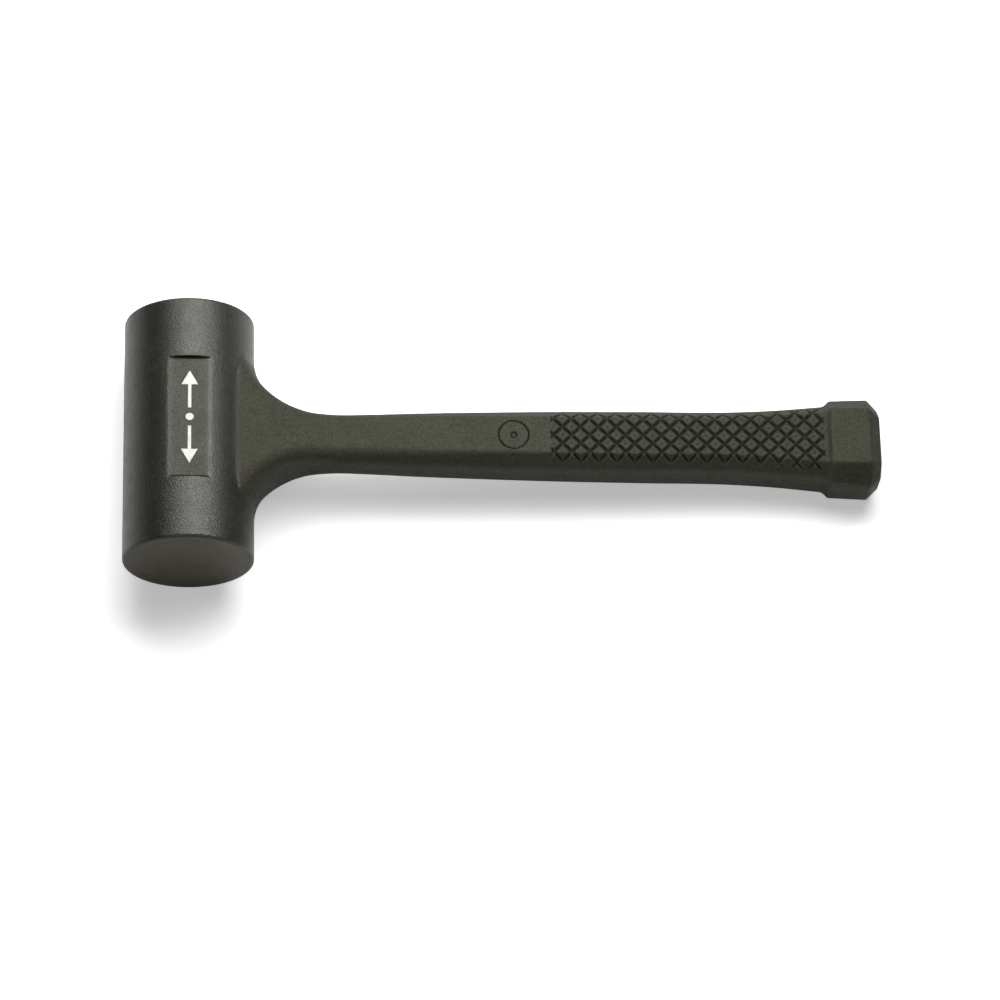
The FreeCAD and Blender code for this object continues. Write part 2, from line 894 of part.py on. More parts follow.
envelope = {
    "canister": cylinder(
        "canister_envelope",
        sheet.canister_diameter / 2,
        -sheet.canister_length / 2,
        sheet.canister_length / 2,
        ALONG_HEAD,
    ),
    "socket": cylinder(
        "socket_envelope",
        sheet.socket_diameter / 2,
        sheet.core_diameter,
        sheet.socket_end,
        ALONG_HANDLE,
    ),
    "washer": cylinder(
        "washer_envelope",
        sheet.lock_washer_diameter / 2,
        sheet.core_shoulder + sheet.anchor_plate_thickness,
        sheet.core_shoulder + sheet.anchor_plate_thickness + sheet.lock_washer_thickness,
        ALONG_HANDLE,
    ),
}

nodes = {
    "printed_mark": printed_mark(),
    "canister_tube": canister_tube(),
    "canister_cap_front": canister_cap("canister_cap_front", FRONT),
    "canister_cap_rear": canister_cap("canister_cap_rear", REAR),
    "cap_weld_front": cap_weld("cap_weld_front", FRONT),
    "cap_weld_rear": cap_weld("cap_weld_rear", REAR),
    "steel_shot": steel_shot(),
    "core_socket": core_socket(),
    "socket_weld": socket_weld(),
    "socket_cross_pin": cross_pin(),
    "handle_core_rod": core_rod(),
    "core_collars": core_collars(),
    "anchor_plate": anchor_plate(),
    "lock_washer": lock_washer(),
    "anchor_nut": anchor_nut(),
}


def outer_jacket():
    """The one-piece polyurethane casting, moulded round the canister and the core."""
    outside = fuse("jacket_outside", head_form(), flare_form(), neck_form(), grip_form(), butt_form())
    buried = ["cap_weld_front", "cap_weld_rear", "socket_weld", "handle_core_rod"]
    buried += ["core_collars", "anchor_plate", "anchor_nut"]
    skeleton = fuse("skeleton", *envelope.values(), *[nodes[name] for name in buried])
    return cut("outer_jacket", outside, skeleton)


nodes["outer_jacket"] = outer_jacket()
doc.recompute()


def keeps_its_parts(joined_solid):
    """A fuse that drops one of its parts is still valid, so its box is compared with theirs."""
    around = joined_solid.Shape.BoundBox
    around.enlarge(SLACK)
    return all(around.isInside(part.Shape.BoundBox) for part in joined_solid.Shapes)


for thing in doc.Objects:
    if "Invalid" in thing.State or "Error" in thing.State:
        raise ValueError(f"{thing.Name} did not build: {thing.State}")
    shape = getattr(thing, "Shape", None)
    if shape and shape.Solids and not shape.isValid():
        raise ValueError(f"{thing.Name} has a faulty shape")
    if thing.TypeId == "Part::MultiFuse" and not keeps_its_parts(thing):
        raise ValueError(f"{thing.Name} lost one of its parts")

for name, node in nodes.items():
    if node.Shape.isNull() or not node.Shape.isValid():
        raise ValueError(f"{name} has no valid shape")

for name, node in nodes.items():
    node.Label = name
    node.Shape.exportStep(f"parts/{name}.step")
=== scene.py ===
"""Looks of the dead blow mallet: a cast polyurethane jacket, its print, and the steel parts sealed inside.

Shape values are in millimetres, counted from the centre of the head: +X along the handle, Y along the
striking axis, +Z up out of the printed flat. HEAD_PLACE carries them into the part's own frame.
"""

import json
import math

import bpy
import numpy as np
from mathutils import Matrix, Vector


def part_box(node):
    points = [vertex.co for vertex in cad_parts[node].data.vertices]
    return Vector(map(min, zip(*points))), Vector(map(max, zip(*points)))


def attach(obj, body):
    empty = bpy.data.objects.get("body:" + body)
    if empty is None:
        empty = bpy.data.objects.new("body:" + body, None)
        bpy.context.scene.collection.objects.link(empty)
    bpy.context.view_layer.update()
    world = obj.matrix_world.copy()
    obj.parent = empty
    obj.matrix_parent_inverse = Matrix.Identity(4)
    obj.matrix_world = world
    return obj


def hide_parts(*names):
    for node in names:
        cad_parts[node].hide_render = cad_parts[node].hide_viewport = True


MM = 0.001
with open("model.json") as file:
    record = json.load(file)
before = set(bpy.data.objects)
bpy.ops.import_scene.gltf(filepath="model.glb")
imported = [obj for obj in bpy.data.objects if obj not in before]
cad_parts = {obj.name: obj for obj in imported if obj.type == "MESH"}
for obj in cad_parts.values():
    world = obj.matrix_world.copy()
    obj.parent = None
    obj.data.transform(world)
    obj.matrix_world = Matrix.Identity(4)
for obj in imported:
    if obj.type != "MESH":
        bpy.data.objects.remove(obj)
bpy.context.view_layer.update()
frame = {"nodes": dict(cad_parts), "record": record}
nodes = frame["nodes"]

# ---------------------------------------------------------------- sizes of the jacket, from its CAD box

JACKET_LOW, JACKET_HIGH = (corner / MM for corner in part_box("outer_jacket"))
HEAD_RADIUS = JACKET_HIGH.z
HEAD_HALF_LENGTH = JACKET_HIGH.y
HEAD_PLACE = Vector((JACKET_LOW.x + HEAD_RADIUS, 0, 0))
RIM_RADIUS = 1.3
BUTT_END = JACKET_HIGH.x - HEAD_PLACE.x
BUTT_START = BUTT_END - 22.6
BUTT_FRONT_HALF_WIDTH = 17.7
BUTT_END_HALF_WIDTH = 19.4
BUTT_FLAT_HALF_WIDTH = 11.8
BUTT_HALF_HEIGHT = 14.2
BUTT_FRONT_BEVEL = 2.4
BUTT_END_BEVEL = 4.6

FLARE_RADIUS = 25.0
WAIST_HALF_WIDTH = 10.4
WAIST_END = 58.0
NECK_END = 92.0
NECK_ROOT = HEAD_RADIUS / 2
FLARE_END = HEAD_RADIUS + FLARE_RADIUS
FLARE_RIM = WAIST_HALF_WIDTH + FLARE_RADIUS
FILLET_AT_NECK = 1.6
FILLET_AT_FLARE = 0.02
FILLET_FADES_FROM = 12.0
FILLET_FADES_TO = 30.0
HANDLE_END = BUTT_END - BUTT_END_BEVEL * 3

# Stations along the handle, as (x, value): its sides, its top and bottom, its bevels, and how soft its edges
# are. The last half width lies just inside the butt, where the grip runs into it.
HALF_WIDTHS = [
    (FLARE_END, WAIST_HALF_WIDTH),
    (WAIST_END, WAIST_HALF_WIDTH + 0.1),
    (NECK_END, 11.5),
    (145.0, 12.4),
    (180.0, 12.6),
    (218.0, 12.8),
    (236.0, 13.8),
    (BUTT_START + 2, 15.7),
]
HALF_HEIGHTS = [
    (NECK_ROOT, 19.5),
    (40.0, 13.6),
    (WAIST_END, 9.8),
    (70.0, 9.8),
    (NECK_END, 10.4),
    (BUTT_START, 12.4),
    (BUTT_END, 12.7),
]
CORNERS = [(HEAD_RADIUS, 1.6), (FLARE_END, 3.0), (NECK_END, 4.0), (BUTT_START, 4.6)]
SOFTNESS = [(HEAD_RADIUS, 1.6), (FLARE_END, 2.0), (110.0, 1.2), (145.0, 0.6), (BUTT_START, 0.6)]
BUTT_SOFTNESS = 0.6
BUTT_END_SOFTNESS = 0.5
STEP_SOFTNESS = 1.0

FLAT_HALF_WIDTH = 8.3
FLAT_HALF_LENGTH = 26.0
FLAT_HEIGHT = math.sqrt(HEAD_RADIUS**2 - FLAT_HALF_WIDTH**2)
FLAT_SOFTNESS = 0.35

GRIP_START = 144.9
GRIP_START_FADE = (-1.5, -0.2)  # the grooves deepen between these places, counted from the grip's start
GRIP_END_FADE = (-0.2, -1.0)  # and between these, counted from the butt
GRIP_FULL_INSIDE = 4.2  # how far in from the handle's side the grooves reach their full depth
GRIP_NONE_INSIDE = 0.8  # how far in they fade to nothing
GROOVE_PITCH = 7.2
GROOVE_WIDTH = 1.9
GROOVE_DEPTH = 0.85
DIMPLE_RADIUS = 0.7
DIMPLE_DEPTH = 0.14
BOTTOM_HALF_WIDTH = 0.1  # the flat bottom of a groove or dimple

RING_POSITION = 129.0
RING_RADIUS = 6.0
RING_WIDTH = 1.15
RING_DEPTH = 0.4
RING_DOT_RADIUS = 1.7
RING_DOT_EDGE = 0.6

LEAST_STEEPNESS = 0.2  # keeps a Newton step finite where the field is nearly level
LONGEST_MOVE = 0.6
TINY = 1e-9

# ---------------------------------------------------------------- the jacket's surface as a distance field


def curve(stations, x):
    """A smooth curve through (x, value) stations, level with the first and last beyond them."""
    at = np.array([s[0] for s in stations])
    value = np.array([s[1] for s in stations])
    slope = np.gradient(value, at)
    x = np.clip(x, at[0], at[-1])
    i = np.clip(np.searchsorted(at, x) - 1, 0, len(at) - 2)
    span = at[i + 1] - at[i]
    t = (x - at[i]) / span
    start = value[i] * (1 + 2 * t) * (1 - t) ** 2 + slope[i] * span * t * (1 - t) ** 2
    finish = value[i + 1] * t * t * (3 - 2 * t) + slope[i + 1] * span * t * t * (t - 1)
    return start + finish


def step(low, high, x):
    """0 at low, 1 at high and beyond, smooth between."""
    t = np.clip((x - low) / (high - low), 0, 1)
    return t * t * (3 - 2 * t)


def soft_max(a, b, softness):
    """The larger of two distances, rounded where they meet."""
    overlap = np.maximum(softness - np.abs(a - b), 0)
    return np.maximum(a, b) + overlap**2 / (4 * softness)


def soft_min(a, b, softness):
    """The smaller of two distances, rounded where they meet."""
    return -soft_max(-a, -b, softness)


def bevelled(a, b, bevel, softness):
    """Distance outside two faces that meet in a 45 degree bevel."""
    return soft_max(np.maximum(a, b), (a + b + bevel) / math.sqrt(2), softness)


def head_field(x, y, z):
    """Distance outside the head, a cylinder along Y with rounded rims."""
    out = np.hypot(x, z) - (HEAD_RADIUS - RIM_RADIUS)
    end = np.abs(y) - (HEAD_HALF_LENGTH - RIM_RADIUS)
    corner = np.hypot(np.maximum(out, 0), np.maximum(end, 0)) - RIM_RADIUS
    return np.minimum(np.maximum(out, end), 0) + corner


def side_field(x, y, z):
    """Distance outside the handle's sides, which flare round the head's axis into the head."""
    around = np.hypot(x, z)
    inward = np.maximum(FLARE_RIM - np.abs(y), 0)
    flare = FLARE_RADIUS - np.hypot(FLARE_END - around, inward)
    flare = np.maximum(flare, np.abs(y) - FLARE_RIM)
    straight = np.abs(y) - curve(HALF_WIDTHS, x)
    return np.where(around < FLARE_END, flare, straight)


def lattice(x, y):
    """Distance from the nearest diagonal of each set, and from the nearest diamond's centre."""
    rising = (x - GRIP_START + y) / GROOVE_PITCH
    falling = (x - GRIP_START - y) / GROOVE_PITCH
    to_rising = np.abs(rising - np.round(rising)) * GROOVE_PITCH / math.sqrt(2)
    to_falling = np.abs(falling - np.round(falling)) * GROOVE_PITCH / math.sqrt(2)
    half = GROOVE_PITCH / math.sqrt(8)
    to_centre = np.hypot(half - to_rising, half - to_falling)
    return np.minimum(to_rising, to_falling), to_centre


def relief(x, y, side):
    """Depth of the moulded detail on the handle's top and bottom: grooves, dimples and the ring mark."""
    to_groove, to_centre = lattice(x, y)
    groove = GROOVE_DEPTH * (1 - step(BOTTOM_HALF_WIDTH, GROOVE_WIDTH / 2, to_groove))
    dimple = DIMPLE_DEPTH * (1 - step(BOTTOM_HALF_WIDTH, DIMPLE_RADIUS, to_centre))
    started = step(*GRIP_START_FADE, x - GRIP_START)
    not_ended = step(*GRIP_END_FADE, x - BUTT_START)
    in_grip = started * not_ended * step(-GRIP_NONE_INSIDE, -GRIP_FULL_INSIDE, side)
    from_ring = np.hypot(x - RING_POSITION, y)
    ring = 1 - step(0, RING_WIDTH / 2, np.abs(from_ring - RING_RADIUS))
    dot = 1 - step(RING_DOT_RADIUS - RING_DOT_EDGE, RING_DOT_RADIUS, from_ring)
    return (groove + dimple) * in_grip + RING_DEPTH * np.maximum(ring, dot)


def handle_field(x, y, z):
    """Distance outside the neck and handle, which run on into the head and the butt."""
    side = side_field(x, y, z)
    height = np.abs(z) - curve(HALF_HEIGHTS, x)
    height = height + relief(x, y, side)
    body = bevelled(side, height, curve(CORNERS, x), curve(SOFTNESS, x))
    return np.maximum(np.maximum(body, NECK_ROOT - x), x - HANDLE_END)


def butt_half_width(x):
    """The butt's sides spread evenly from its front to its end."""
    share = (x - BUTT_START) / (BUTT_END - BUTT_START)
    return BUTT_FRONT_HALF_WIDTH + (BUTT_END_HALF_WIDTH - BUTT_FRONT_HALF_WIDTH) * share


def butt_field(x, y, z):
    """Distance outside the butt block."""
    half_width = butt_half_width(x)
    side = np.abs(y) - half_width
    height = np.abs(z) - BUTT_HALF_HEIGHT
    body = bevelled(side, height, half_width - BUTT_FLAT_HALF_WIDTH, BUTT_SOFTNESS)
    body = bevelled(body, BUTT_START - x, BUTT_FRONT_BEVEL, BUTT_END_SOFTNESS)
    return bevelled(body, x - BUTT_END, BUTT_END_BEVEL, BUTT_END_SOFTNESS)


def jacket_field(points):
    """Signed distance, near enough, from the jacket's skin: negative inside."""
    x, y, z = points.T
    head = head_field(x, y, z)
    recess = np.maximum(np.abs(y) - FLAT_HALF_LENGTH, FLAT_HEIGHT - z)
    head = soft_max(head, -recess, FLAT_SOFTNESS)
    faded = step(FILLET_FADES_FROM, FILLET_FADES_TO, np.abs(y))
    fillet = FILLET_AT_FLARE + FILLET_AT_NECK * (1 - faded)
    field = soft_min(head, handle_field(x, y, z), fillet)
    return soft_min(field, butt_field(x, y, z), STEP_SOFTNESS)


def slopes(points, reach=0.04):
    """How fast the field rises along x, y and z."""
    parts = []
    for axis in np.eye(3) * reach:
        parts.append((jacket_field(points + axis) - jacket_field(points - axis)) / (2 * reach))
    return np.stack(parts, 1)


def outward(points):
    """Unit normals of the skin."""
    slope = slopes(points)
    length = np.linalg.norm(slope, axis=1, keepdims=True)
    return slope / np.maximum(length, TINY)


def settle(points, rounds=8, across_x=False):
    """Moves points on to the skin by Newton steps. across_x keeps each one in its own plane of constant x."""
    points = points.copy()
    for _ in range(rounds):
        slope = slopes(points)
        if across_x:
            slope = slope * (0, 1, 1)
        steepness = np.maximum(np.sum(slope**2, 1), LEAST_STEEPNESS)
        move = slope * (jacket_field(points) / steepness)[:, None]
        length = np.linalg.norm(move, axis=1, keepdims=True)
        points -= move * np.minimum(1, LONGEST_MOVE / np.maximum(length, TINY))
    return points


# ---------------------------------------------------------------- meshing

PITCH = 1.2
SEAM = FLARE_END + 6  # where the net over the head and neck meets the rings along the handle
EDGE_REACH = 0.6  # how far the finer lines run each side of a sharp edge
GRID_MARGIN = 1.0  # how far the net's grid runs past the head
TOP_SPAN = 16.0  # the width of the handle's top and of its bevels, which sets how many points cross them
BEVEL_SPAN = 6.0
SIDE_STEPS = 4
END_FACE_RINGS = (0.97, 0.9, 0.6, 0.3)  # each as a share of the end face's own size

FLAT_EDGE_DEPTHS = (-0.1, -0.5)  # below the head's round, where the printed flat's finish begins and is full
NECK_MATT_START = -0.2
NECK_MATT_REACH = 1.4
PRINTED_FLAT_MATT = 0.5
STRIKING_FACE_MATT = 0.4


def spread(low, high, pitch):
    """Evenly spaced values from low to high, about pitch apart."""
    return np.linspace(low, high, max(2, int(round((high - low) / pitch)) + 1))


def joined_spreads(*runs):
    """One rising list of grid lines from several (low, high, pitch) runs."""
    lines = [spread(*run) for run in runs]
    return np.unique(np.round(np.concatenate(lines), 6))


def crossings(grid, value, axis):
    """The grid edges along one axis that the skin crosses.

    Gives each edge's first corner, whether that corner lies inside, and where the skin cuts the edge.
    """
    inside = value < 0
    low = [slice(None)] * 3
    high = [slice(None)] * 3
    low[axis] = slice(0, -1)
    high[axis] = slice(1, None)
    crossed = np.argwhere(inside[tuple(low)] != inside[tuple(high)])
    ahead = crossed + np.eye(3, dtype=int)[axis]
    first = value[tuple(crossed.T)]
    second = value[tuple(ahead.T)]
    share = (first / (first - second))[:, None]
    start = grid[tuple(crossed.T)]
    place = start + (grid[tuple(ahead.T)] - start) * share
    return crossed, first < 0, place


def cells_around(crossed, axis):
    """The four cells that share each of those edges, in turn."""
    others = [k for k in range(3) if k != axis]
    around = []
    for back in ((0, 0), (1, 0), (1, 1), (0, 1)):
        cell = crossed.copy()
        cell[:, others] -= back
        around.append(cell)
    return np.stack(around, 1)


def surface_net(xs, ys, zs):
    """Vertices and quads of the skin inside a grid, with one vertex to each cell that the skin crosses."""
    grid = np.stack(np.meshgrid(xs, ys, zs, indexing="ij"), -1)
    value = jacket_field(grid.reshape(-1, 3)).reshape(grid.shape[:3])
    cells = tuple(n - 1 for n in value.shape)
    total = np.zeros(cells + (3,))
    count = np.zeros(cells)
    rings = []
    for axis in range(3):
        crossed, starts_inside, place = crossings(grid, value, axis)
        around = cells_around(crossed, axis)
        held = np.all((around >= 0) & (around < np.array(cells)), axis=2)
        for k in range(4):
            ok = held[:, k]
            index = tuple(around[ok, k].T)
            np.add.at(total, index, place[ok])
            np.add.at(count, index, 1)
        whole = np.all(held, axis=1)
        ring = around[whole]
        backwards = starts_inside[whole] == (axis == 1)
        ring[backwards] = ring[backwards, ::-1]
        rings.append(ring)
    used = count > 0
    number = np.full(cells, -1)
    number[used] = np.arange(np.count_nonzero(used))
    vertices = total[used] / count[used][:, None]
    quads = number[tuple(np.moveaxis(np.concatenate(rings), 2, 0))]
    return vertices, quads


def head_shell(end, pitch):
    """The head and the fish-tail up to x = end, open there."""
    fine = pitch / 3
    near = EDGE_REACH
    rim = HEAD_HALF_LENGTH - RIM_RADIUS * 1.6
    side = FLAT_HALF_WIDTH
    xs = joined_spreads(
        (-HEAD_RADIUS - GRID_MARGIN, -side - near, pitch),
        (-side - near, -side + near, fine),
        (-side + near, side - near, pitch),
        (side - near, side + near, fine),
        (side + near, end, pitch),
    )
    half = [
        (0.0, FLAT_HALF_LENGTH - near, pitch),
        (FLAT_HALF_LENGTH - near, FLAT_HALF_LENGTH + near, fine),
        (FLAT_HALF_LENGTH + near, rim, pitch),
        (rim, HEAD_HALF_LENGTH + 0.8, fine),
    ]
    ys = joined_spreads(*half)
    ys = np.concatenate([-ys[:0:-1], ys])
    below_flat = FLAT_HEIGHT - 1
    zs = joined_spreads(
        (-HEAD_RADIUS - GRID_MARGIN, below_flat, pitch),
        (below_flat, HEAD_RADIUS + GRID_MARGIN, fine),
    )
    return surface_net(xs, ys, zs)


def section(position, half_width, half_height, corner, counts):
    """Points round an eight-sided section, with counts steps along its (top, bevel, side)."""
    w, h, c = half_width, half_height, corner
    on_top, on_bevel, on_side = counts
    corners = [
        (w - c, h), (-w + c, h), (-w, h - c), (-w, -h + c),
        (-w + c, -h), (w - c, -h), (w, -h + c), (w, h - c),
    ]
    steps = [on_top, on_bevel, on_side, on_bevel, on_top, on_bevel, on_side, on_bevel]
    points = []
    for number, steps_here in enumerate(steps):
        start = np.array(corners[number])
        finish = np.array(corners[(number + 1) % 8])
        for share in np.arange(steps_here) / steps_here:
            y, z = start + (finish - start) * share
            points.append((position, y, z))
    return np.array(points)


def rough_section(x):
    """The half width, half height and corner of the handle or butt at x, before its edges are softened."""
    if x < BUTT_START + 0.2:
        return float(curve(HALF_WIDTHS, x)), float(curve(HALF_HEIGHTS, x)), float(curve(CORNERS, x))
    from_front = max(BUTT_FRONT_BEVEL - (x - BUTT_START), 0)
    from_end = max(x - (BUTT_END - BUTT_END_BEVEL), 0)
    inset = max(from_front, from_end)
    half_width = butt_half_width(x)
    corner = half_width - BUTT_FLAT_HALF_WIDTH - inset * (2 - math.sqrt(2))
    return half_width - inset, BUTT_HALF_HEIGHT - inset, corner


def handle_rings(start, pitch):
    """Rings of points from x = start to the middle of the butt's end face."""
    fine = pitch * 0.3
    counts = (round(TOP_SPAN / fine), round(BEVEL_SPAN / fine), SIDE_STEPS)
    coarse = pitch * 1.5
    ring_start = RING_POSITION - RING_RADIUS - RING_WIDTH
    ring_end = RING_POSITION + RING_RADIUS + RING_WIDTH
    grip_start = GRIP_START - 1.8
    step_start = BUTT_START - 0.5
    step_end = BUTT_START + 0.6
    front_bevel_end = BUTT_START + 3.2
    end_bevel_start = BUTT_END - BUTT_END_BEVEL - 0.8
    end_bevel_full = BUTT_END - BUTT_END_BEVEL + 0.8
    xs = joined_spreads(
        (start, ring_start, coarse),
        (ring_start, ring_end, fine * 0.85),
        (ring_end, grip_start, pitch),
        (grip_start, step_start, fine),
        (step_start, step_end, fine / 3),
        (step_end, front_bevel_end, fine),
        (front_bevel_end, end_bevel_start, coarse),
        (end_bevel_start, end_bevel_full, fine),
        (end_bevel_full, BUTT_END - 0.6, pitch),
        (BUTT_END - 0.6, BUTT_END - 0.05, fine / 2),
    )
    rings = []
    for x in xs:
        rings.append(settle(section(x, *rough_section(x), counts), across_x=True))
    end_face = rings[-1] * (0, 1, 1) + (BUTT_END, 0, 0)
    for shrink in END_FACE_RINGS:
        rings.append(settle(end_face * (1, shrink, shrink), rounds=2))
    return rings


def zip_loops(first, second, first_numbers, second_numbers):
    """Triangles between two loops that both run once round the x axis."""
    turn_a = np.unwrap(np.arctan2(first[:, 2], first[:, 1]))
    turn_b = np.unwrap(np.arctan2(second[:, 2], second[:, 1]))
    turn_b += 2 * math.pi * round((turn_a[0] - turn_b[0]) / (2 * math.pi))
    faces = []
    i = j = 0
    n, m = len(first), len(second)
    turn_a = np.append(turn_a, turn_a[0] + 2 * math.pi)
    turn_b = np.append(turn_b, turn_b[0] + 2 * math.pi)
    while i < n or j < m:
        if j >= m or (i < n and turn_a[i + 1] <= turn_b[j + 1]):
            faces.append((first_numbers[i % n], first_numbers[(i + 1) % n], second_numbers[j % m]))
            i += 1
        else:
            faces.append((first_numbers[i % n], second_numbers[(j + 1) % m], second_numbers[j % m]))
            j += 1
    return faces


def open_edge(quads):
    """The vertices on the open edge of a net."""
    edges = np.concatenate([quads[:, [k, (k + 1) % 4]] for k in range(4)])
    edges.sort(axis=1)
    unique, counts = np.unique(edges, axis=0, return_counts=True)
    return np.unique(unique[counts == 1])


def jacket_mesh():
    """The whole skin: a net over the head and neck, zipped to rings along the handle."""
    pitch = PITCH
    points, quads = head_shell(SEAM, pitch)
    points = settle(points)
    rim = open_edge(quads)
    points[rim, 0] = SEAM - pitch / 2
    points[rim] = settle(points[rim], across_x=True)
    turn = np.arctan2(points[rim, 2], points[rim, 1])
    rim = rim[np.argsort(turn)]
    rings = handle_rings(SEAM + pitch / 2, pitch)
    size = len(rings[0])
    offset = len(points)
    order = np.argsort(np.arctan2(rings[0][:, 2], rings[0][:, 1]))
    faces = quads.tolist()
    faces += zip_loops(points[rim], rings[0][order], rim, order + offset)
    for number in range(len(rings) - 1):
        here = offset + number * size
        for k in range(size):
            after = (k + 1) % size
            faces.append((here + k, here + after, here + size + after, here + size + k))
    last = offset + (len(rings) - 1) * size
    faces.append(tuple(range(last, last + size)))
    points = np.concatenate([points] + rings)
    return points, faces


def curvature(points, reach=0.7):
    """How sharply the skin turns: above 0 on outer edges, below 0 in grooves and corners."""
    total = -6 * jacket_field(points)
    for axis in np.eye(3) * reach:
        total += jacket_field(points + axis) + jacket_field(points - axis)
    return total / reach**2


def struck_faces(points):
    """1 on the two striking faces, 0 elsewhere."""
    return step(HEAD_HALF_LENGTH - RIM_RADIUS, HEAD_HALF_LENGTH, np.abs(points[:, 1]))


def head_texture(points):
    """How matt the skin is: 0 on the barrel of the head, 1 on the neck and handle, part way on the flats."""
    out = head_field(*points.T)
    off_barrel = step(NECK_MATT_START, NECK_MATT_REACH, out)
    printed_flat = step(*FLAT_EDGE_DEPTHS, out)
    flats = np.maximum(PRINTED_FLAT_MATT * printed_flat, STRIKING_FACE_MATT * struck_faces(points))
    return np.maximum(off_barrel, flats)


def jacket_skin():
    """The cast jacket, with its outward normals kept on the mesh, and three values for its material.

    bend is its curvature, textured says how matt it is, and struck marks the two striking faces.
    """
    points, faces = jacket_mesh()
    normals = outward(points)
    bend = curvature(points)
    mesh = bpy.data.meshes.new("jacket_skin")
    mesh.from_pydata(((points + np.array(HEAD_PLACE)) * MM).tolist(), [], faces)
    mesh.validate()
    for polygon in mesh.polygons:
        polygon.use_smooth = True
    mesh.normals_split_custom_set_from_vertices(normals.tolist())
    values_by_name = {"bend": bend, "textured": head_texture(points), "struck": struck_faces(points)}
    for name, values in values_by_name.items():
        layer = mesh.attributes.new(name, "FLOAT", "POINT")
        layer.data.foreach_set("value", values.astype(np.float32))
    piece = bpy.data.objects.new("jacket_skin", mesh)
    bpy.context.scene.collection.objects.link(piece)
    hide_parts("outer_jacket")
    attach(piece, "mallet")
    return piece


# ---------------------------------------------------------------- materials


class Nodes:
    """A material's node tree, with short ways to add to it."""

    def __init__(self, name):
        self.material = bpy.data.materials.new(name)
        self.material.use_nodes = True
        self.tree = self.material.node_tree
        self.surface = self.tree.nodes["Principled BSDF"]
        self.place = self.add("ShaderNodeTexCoord").outputs["Object"]

    def add(self, kind, **settings):
        """A new node, with its settings."""
        node = self.tree.nodes.new(kind)
        for name, value in settings.items():
            setattr(node, name, value)
        return node

    def feed(self, socket, value):
        """Joins an output to a socket, or sets the socket to a plain value."""
        if isinstance(value, bpy.types.NodeSocket):
            self.tree.links.new(value, socket)
        else:
            socket.default_value = value

    def noise(self, grain, detail=2.0, roughness=0.5, stretch=(1, 1, 1)):
        """Noise whose blobs are about grain millimetres across."""
        mapping = self.add("ShaderNodeMapping")
        mapping.inputs["Scale"].default_value = stretch
        self.feed(mapping.inputs["Vector"], self.place)
        node = self.add("ShaderNodeTexNoise")
        self.feed(node.inputs["Vector"], mapping.outputs["Vector"])
        node.inputs["Scale"].default_value = 1 / (grain * MM)
        node.inputs["Detail"].default_value = detail
        node.inputs["Roughness"].default_value = roughness
        return node.outputs["Fac"]

    def ramp(self, value, low, high, start=0.0, finish=1.0):
        """value from low to high, turned into start to finish."""
        node = self.add("ShaderNodeMapRange", interpolation_type="SMOOTHSTEP")
        self.feed(node.inputs["Value"], value)
        node.inputs["From Min"].default_value = low
        node.inputs["From Max"].default_value = high
        node.inputs["To Min"].default_value = start
        node.inputs["To Max"].default_value = finish
        return node.outputs["Result"]

    def sum(self, first, second, operation="ADD"):
        """first and second added, or joined by another operation."""
        node = self.add("ShaderNodeMath", operation=operation)
        self.feed(node.inputs[0], first)
        self.feed(node.inputs[1], second)
        return node.outputs[0]

    def blend(self, share, first, second):
        """From the colour first to the colour second."""
        node = self.add("ShaderNodeMix", data_type="RGBA")
        self.feed(node.inputs["Factor"], share)
        for socket, colour in (("A_Color", first), ("B_Color", second)):
            target = next(s for s in node.inputs if s.identifier == socket)
            self.feed(target, colour if isinstance(colour, bpy.types.NodeSocket) else (*colour, 1))
        return next(s for s in node.outputs if s.identifier == "Result_Color")

    def bump(self, height, depth, under=None):
        """Relief of depth millimetres, on top of another bump if one is given."""
        node = self.add("ShaderNodeBump")
        node.inputs["Distance"].default_value = depth * MM
        self.feed(node.inputs["Height"], height)
        if under is not None:
            self.feed(node.inputs["Normal"], under)
        return node.outputs["Normal"]

    def finish(self, **inputs):
        """Feeds the surface's inputs, whose names have _ for a space, and gives the finished material."""
        for name, value in inputs.items():
            socket = self.surface.inputs[name.replace("_", " ")]
            self.feed(socket, (*value, 1) if isinstance(value, tuple) and len(value) == 3 else value)
        return self.material


PALE_URETHANE = (0.050, 0.047, 0.037)  # the colour of its specks and rubbed edges


def urethane_colour(n, textured, struck, pebble, worn, dust_and_crease_shade):
    """Dark and glossy on the barrel, paler where it is matt, with specks, rubbed edges and painted shade in
    corners.
    """
    blotch = n.ramp(n.noise(14.0, detail=3.0), 0.3, 0.7)
    barrel = n.blend(blotch, (0.0070, 0.0066, 0.0046), (0.0094, 0.0088, 0.0062))
    matt = n.blend(blotch, (0.0205, 0.0203, 0.0146), (0.0240, 0.0238, 0.0174))
    colour = n.blend(textured, barrel, matt)
    # the striking faces are made paler and browner: partly their worn colour, partly a painted reflection of
    # the lit floor in front of them
    colour = n.blend(n.sum(struck, 0.85, "MULTIPLY"), colour, (0.050, 0.041, 0.026))
    # painted shade: the hollows of the pebbled bump on the matt skin are darkened
    pebble_hollow_shade = n.sum(n.ramp(pebble, 0.52, 0.36, 0.0, 0.22), textured, "MULTIPLY")
    colour = n.blend(pebble_hollow_shade, colour, (0.006, 0.0055, 0.004))
    speck = n.ramp(n.noise(0.5, detail=1.0), 0.60, 0.74, 0.0, 0.75)
    colour = n.blend(speck, colour, PALE_URETHANE)
    colour = n.blend(n.sum(worn, 0.4, "MULTIPLY"), colour, PALE_URETHANE)
    # painted shade: grooves and corners darkened nearly to black where the skin curves inward
    return n.blend(dust_and_crease_shade, colour, (0.003, 0.003, 0.002))


